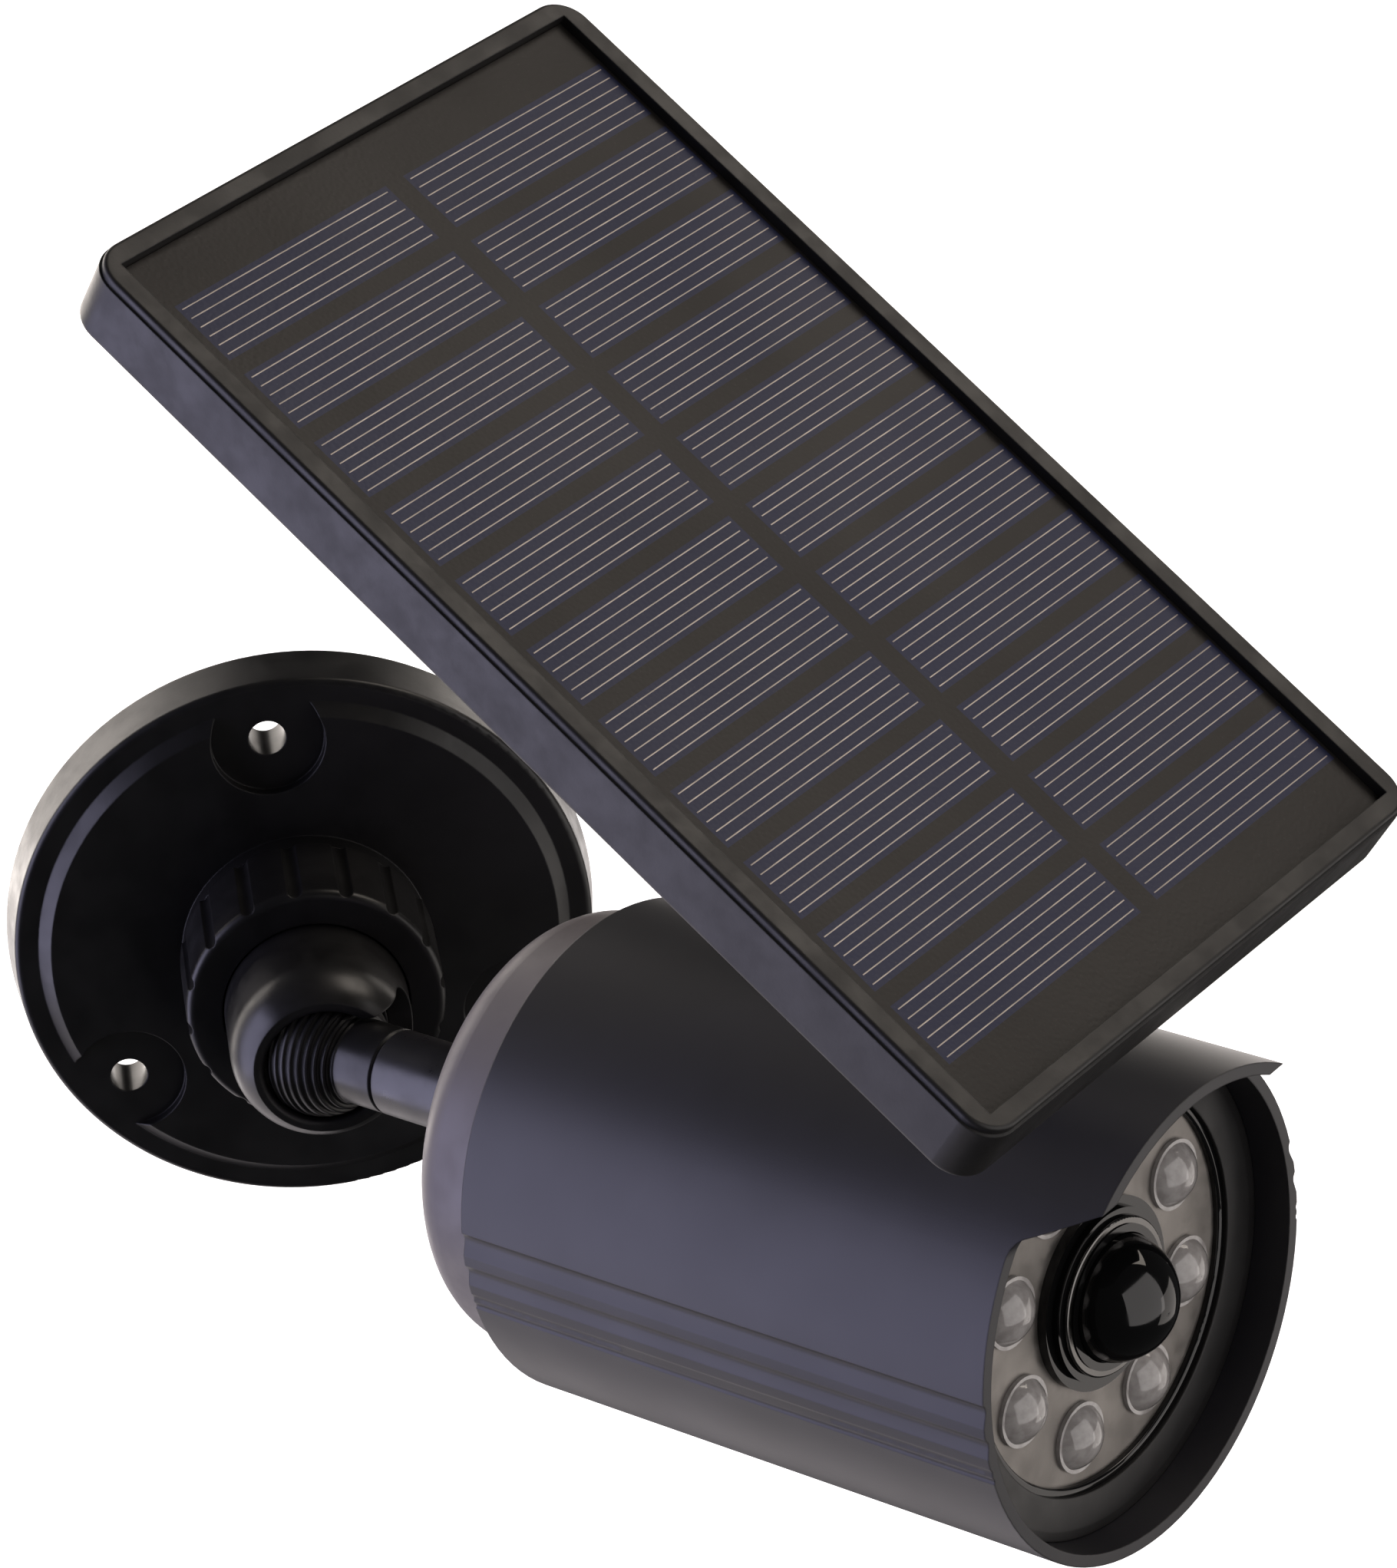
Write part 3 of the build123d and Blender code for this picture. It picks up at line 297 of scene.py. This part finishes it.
def make_materials():
    black = (0.0105, 0.0102, 0.0105)
    return {
        "plate_black": moulded("plate_black", black, 0.36, 0.6, 0.012, 0.5),
        "socket_black": moulded("socket_black", (0.013, 0.0125, 0.0125), 0.34, 0.8, 0.003, 0.08, 0.6),
        "ball_black": moulded("ball_black", black, 0.34, 0.5, 0.012, 0.5),
        "arm_black": moulded("arm_black", (0.02, 0.0195, 0.022), 0.32, 0.4, 0.005, 0.12, 0.7),
        "tube_black": anodised(),
        "cap_black": moulded("cap_black", (0.135, 0.118, 0.120), 0.46, 0.5, 0.008, 0.1, 0.6, 0.05),
        "bezel_black": moulded("bezel_black", (0.012, 0.0115, 0.012), 0.42, 0.5, 0.012, 0.4),
        "gloss_black": polished("gloss_black", (0.0045, 0.0045, 0.0048), 0.04),
        "silver_plate": metallised("silver_plate", (0.29, 0.272, 0.255), 0.38),
        "silver_trim": polished("silver_trim", (0.20, 0.195, 0.19), 0.14, 1.0),
        "clear_lens": clear_lens(),
        "led_chip": polished("led_package", (0.22, 0.21, 0.18), 0.35),
        "white_board": board("white_board", (0.6, 0.6, 0.58)),
        "green_board": board("green_board", (0.02, 0.13, 0.05)),
        "inner_plastic": moulded("inner_plastic", (0.04, 0.04, 0.042), 0.45),
        "sensor_can": steel("nickel_can", (0.6, 0.58, 0.54), 0.2),
        "cell_sleeve": polished("cell_sleeve", (0.03, 0.12, 0.35), 0.2),
        "seal_rubber": moulded("seal_rubber", (0.014, 0.014, 0.014), 0.6, 0.4, 0.02, 0.2),
        "button_rubber": moulded("button_rubber", (0.035, 0.034, 0.034), 0.55, 0.4, 0.02, 0.3),
        "switch_black": moulded("switch_black", black, 0.4),
        "steel": steel(),
        "panel_black": moulded("panel_black", (0.0135, 0.0128, 0.0128), 0.44, 0.45, 0.02, 0.7),
        "pv_backing": pv_film("pv_backing", (0.0165, 0.0140, 0.0125), (0.0200, 0.0170, 0.0150), 0.12),
        "pv_cell": pv_film("pv_cell", (0.0180, 0.0230, 0.0680), (0.0230, 0.0290, 0.0820), 0.20),
    }


def dress(materials):
    """Gives every CAD node the finish of its slot."""
    slots = {s["node"]: s["material_slot"] for s in frame["record"]["subparts"]}
    for name, node in NODES.items():
        node.data.materials.clear()
        node.data.materials.append(materials[slots[name]])


# ---- added pieces ------------------------------------------------------------------------
def boxes(name, place, sizes, material, body):
    """One mesh of small boxes. sizes holds (x0, x1, y0, y1, z0, z1) in millimetres in the frame `place`."""
    mesh = bmesh.new()
    for x0, x1, y0, y1, z0, z1 in sizes:
        corners = [
            mesh.verts.new(place @ Vector((x * MM, y * MM, z * MM)))
            for z in (z0, z1) for x, y in ((x0, y0), (x1, y0), (x1, y1), (x0, y1))
        ]
        a, b, c, d, e, f, g, h = corners
        for quad in ((d, c, b, a), (e, f, g, h), (a, b, f, e), (b, c, g, f), (c, d, h, g), (d, a, e, h)):
            mesh.faces.new(quad)
    data = bpy.data.meshes.new(name)
    mesh.to_mesh(data)
    mesh.free()
    piece = bpy.data.objects.new(name, data)
    bpy.context.scene.collection.objects.link(piece)
    piece.data.materials.append(material)
    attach(piece, body)
    return piece


def cell_centres():
    for row in range(CELL_ROWS):
        y = PANEL_SHIFT + (row - (CELL_ROWS - 1) / 2) * CELL_PITCH
        for side in (-1, 1):
            yield CELL_SHIFT + side * (CELL_W + CELL_GAP) / 2, y


def finger_boxes():
    half = CELL_W / 2 - FINGER_INSET
    for x, y in cell_centres():
        for i in range(FINGERS):
            line = y + (i - (FINGERS - 1) / 2) * FINGER_PITCH
            low, high = line - FINGER_W / 2, line + FINGER_W / 2
            yield x - half, x + half, low, high, PV_TOP - 0.01, PV_TOP + FINGER_T


def die_boxes():
    half = DIE_SIDE / 2
    for i in range(LED_COUNT):
        angle = 2 * math.pi * (i + 0.5) / LED_COUNT + math.pi / 2
        x, y = LED_PITCH_R * math.cos(angle), LED_PITCH_R * math.sin(angle)
        yield x - half, x + half, y - half, y + half, -LED_FLOOR - 0.05, -LED_FLOOR + DIE_T


# ---- stage ----------------------------------------------------------------------------------
FLOOR_Z = -0.30
FLOOR_SIDE = 12.0
PAPER = 0.93             # brightness of the floor and the backdrop


def stage():
    """A bright, even paper floor. It is seen, and the lights below do the lighting."""
    mesh = bpy.data.meshes.new("floor")
    side = FLOOR_SIDE
    mesh.from_pydata(
        [(-side, -side, FLOOR_Z), (side, -side, FLOOR_Z), (side, side, FLOOR_Z), (-side, side, FLOOR_Z)],
        [], [(0, 1, 2, 3)],
    )
    floor = bpy.data.objects.new("floor", mesh)
    bpy.context.scene.collection.objects.link(floor)
    n = Nodes("floor_paper")
    n.put(Base_Color=(0.8, 0.8, 0.8, 1.0), Roughness=0.9, Specular_IOR_Level=0.0)
    n.put(Emission_Color=(1.0, 1.0, 1.0, 1.0), Emission_Strength=PAPER)
    floor.data.materials.append(n.material)
    floor.visible_diffuse = False
    floor.visible_glossy = False
    floor.visible_transmission = False
    floor.visible_shadow = False
    floor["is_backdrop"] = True


def softbox(name, place, size, radiance, colour):
    """A soft rectangular light that faces the object, with the brightness of its own surface given."""
    data = bpy.data.lights.new(name, "AREA")
    data.shape = "RECTANGLE"
    data.size, data.size_y = size
    data.energy = radiance * math.pi * size[0] * size[1]
    data.color = colour
    light = bpy.data.objects.new(name, data)
    light.location = place
    middle = Vector((0.06, -0.10, 0.03))
    light.rotation_euler = (middle - Vector(place)).to_track_quat("-Z", "Y").to_euler()
    light.visible_camera = False
    light.visible_transmission = False
    bpy.context.scene.collection.objects.link(light)


def lighting():
    softbox("left_softbox", (-1.10, -0.15, 0.08), (0.9, 1.35), 3.0, (0.73, 0.71, 1.0))
    softbox("top_right_softbox", (0.75, 0.17, 0.88), (0.6, 0.6), 2.6, (1.0, 0.90, 0.80))
    softbox("back_left_softbox", (-0.58, 0.98, 0.14), (1.0, 1.2), 3.4, (1.0, 0.92, 0.85))
    softbox("back_right_softbox", (0.78, 1.02, 0.08), (0.7, 0.7), 2.4, (1.0, 0.92, 0.85))
    softbox("low_back_card", (0.0, 0.95, -0.45), (1.6, 0.6), 2.2, (1.0, 0.93, 0.90))
    softbox("low_left_card", (-0.55, 0.22, -0.75), (1.0, 0.9), 1.1, (1.0, 0.92, 0.93))
    softbox("front_right_softbox", (0.80, -0.80, 0.10), (1.4, 1.3), 1.15, (1.0, 0.95, 0.93))
    softbox("low_right_card", (0.95, -0.05, -0.40), (0.7, 0.6), 0.95, (1.0, 0.93, 0.88))
    world = bpy.data.worlds.new("studio")
    world.use_nodes = True
    tree = world.node_tree
    sky = tree.nodes["Background"]
    seen = tree.nodes.new("ShaderNodeLightPath").outputs["Is Camera Ray"]
    level = tree.nodes.new("ShaderNodeMapRange")
    level.inputs["To Min"].default_value = 0.03
    level.inputs["To Max"].default_value = PAPER
    tree.links.new(seen, level.inputs["Value"])
    tree.links.new(level.outputs["Result"], sky.inputs["Strength"])
    sky.inputs["Color"].default_value = (1.0, 1.0, 1.0, 1.0)
    bpy.context.scene.world = world


def camera():
    data = bpy.data.cameras.new("camera")
    data.lens = 135.7
    data.sensor_width = 36.0
    data.clip_start, data.clip_end = 0.05, 50.0
    view = bpy.data.objects.new("camera", data)
    azimuth, elevation, roll = (math.radians(a) for a in (-3.92, 27.81, -8.62))
    view.matrix_world = (
        Matrix.Translation((0.0084, -0.7824, 0.4233))
        @ Matrix.Rotation(azimuth, 4, "Z")
        @ Matrix.Rotation(math.pi / 2 - elevation, 4, "X")
        @ Matrix.Rotation(roll, 4, "Z")
    )
    bpy.context.scene.collection.objects.link(view)
    bpy.context.scene.camera = view


materials = make_materials()
dress(materials)
silver = metallised("finger_silver", (0.42, 0.38, 0.36), 0.35)
boxes("cell_fingers", panel_frame(), finger_boxes(), silver, "panel")
die = polished("led_die", (0.34, 0.28, 0.11), 0.25)
boxes("led_dies", front_frame(), die_boxes(), die, "head")
stage()
lighting()
camera()
bpy.context.scene.view_settings.view_transform = "Standard"

box_of = lambda bounds: [[float(v) for v in corner] for corner in bounds]
{"cad": box_of(CAD_BOX), "visual": box_of(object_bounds())}
